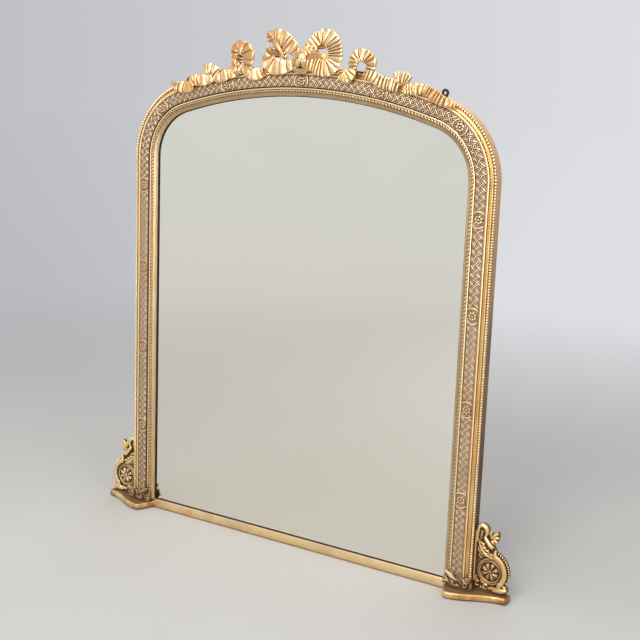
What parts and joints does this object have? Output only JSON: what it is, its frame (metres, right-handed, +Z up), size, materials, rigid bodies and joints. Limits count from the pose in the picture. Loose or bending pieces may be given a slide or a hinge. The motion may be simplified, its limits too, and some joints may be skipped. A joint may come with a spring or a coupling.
{
  "type": "overmantel mirror",
  "caption": "Arched overmantel mirror with round shoulders, in a gilt moulded frame on serpentine feet, with side scroll brackets and a carved pleated ribbon crest.",
  "frame": {"origin": "on the shelf, under the middle of the mirror, halfway between the nose of the feet and the frame's back", "axes": "+X to the right as seen from the front, +Y towards the wall, so the front faces -Y, and +Z up"},
  "size_m": [1.4342, 0.088, 1.5325],
  "materials": {
    "pine_core": "sawn and planed pine, aged",
    "gilt_rail": "gold leaf over gesso on pine",
    "gilt_bright": "burnished gold leaf over red bole",
    "gilt_antique": "worn gold leaf, toned brown",
    "gilt_matt": "matt gold leaf",
    "gilt_carved": "gold leaf over carved relief",
    "gilt_ribbon": "gold leaf over carved pleats",
    "gilt_foot": "worn gold leaf with a grey-brown top",
    "dark_wash": "pine with a dark wash",
    "pine_back": "sawn pine, aged",
    "mirror_glass": "silvered plate glass, slightly grey with age",
    "iron": "dark iron, dull"
  },
  "bodies": {
    "root": {"pine_stile_left": "pine_core", "pine_stile_right": "pine_core", "pine_shoulder_left": "pine_core", "pine_shoulder_right": "pine_core", "pine_arch": "pine_core", "bottom_rail": "gilt_rail", "sight_slip_left": "gilt_bright", "sight_slip_right": "gilt_bright", "sight_slip_arch": "gilt_bright", "rope_left": "gilt_antique", "rope_right": "gilt_antique", "rope_arch": "gilt_antique", "fillets_left": "gilt_bright", "fillets_right": "gilt_bright", "fillets_arch": "gilt_bright", "woven_band_left": "gilt_antique", "woven_band_right": "gilt_antique", "woven_band_arch": "gilt_antique", "cove_left": "gilt_matt", "cove_right": "gilt_matt", "cove_arch": "gilt_matt", "pearls_left": "gilt_antique", "pearls_right": "gilt_antique", "pearls_arch": "gilt_antique", "medallions": "gilt_antique", "mirror_plate": "mirror_glass", "plate_blocks": "pine_back", "back_boards": "pine_back", "batten_lower": "pine_back", "batten_upper": "pine_back", "foot_left": "gilt_foot", "foot_right": "gilt_foot", "bracket_left": "gilt_carved", "bracket_right": "gilt_carved", "bracket_rosette_left": "gilt_carved", "bracket_rosette_right": "gilt_carved", "leaves_left": "gilt_carved", "leaves_right": "gilt_carved", "crest_tail_left": "gilt_ribbon", "crest_loop_left": "gilt_ribbon", "crest_bow_left": "gilt_ribbon", "crest_knot": "gilt_ribbon", "crest_bow_right": "gilt_ribbon", "crest_loop_right": "gilt_ribbon", "crest_tail_right": "gilt_ribbon", "crest_blocks": "dark_wash", "wall_plate_left": "iron", "wall_plate_right": "iron", "wall_plate_screws": "iron", "foot_screws": "iron"}
  },
  "joints": []
}
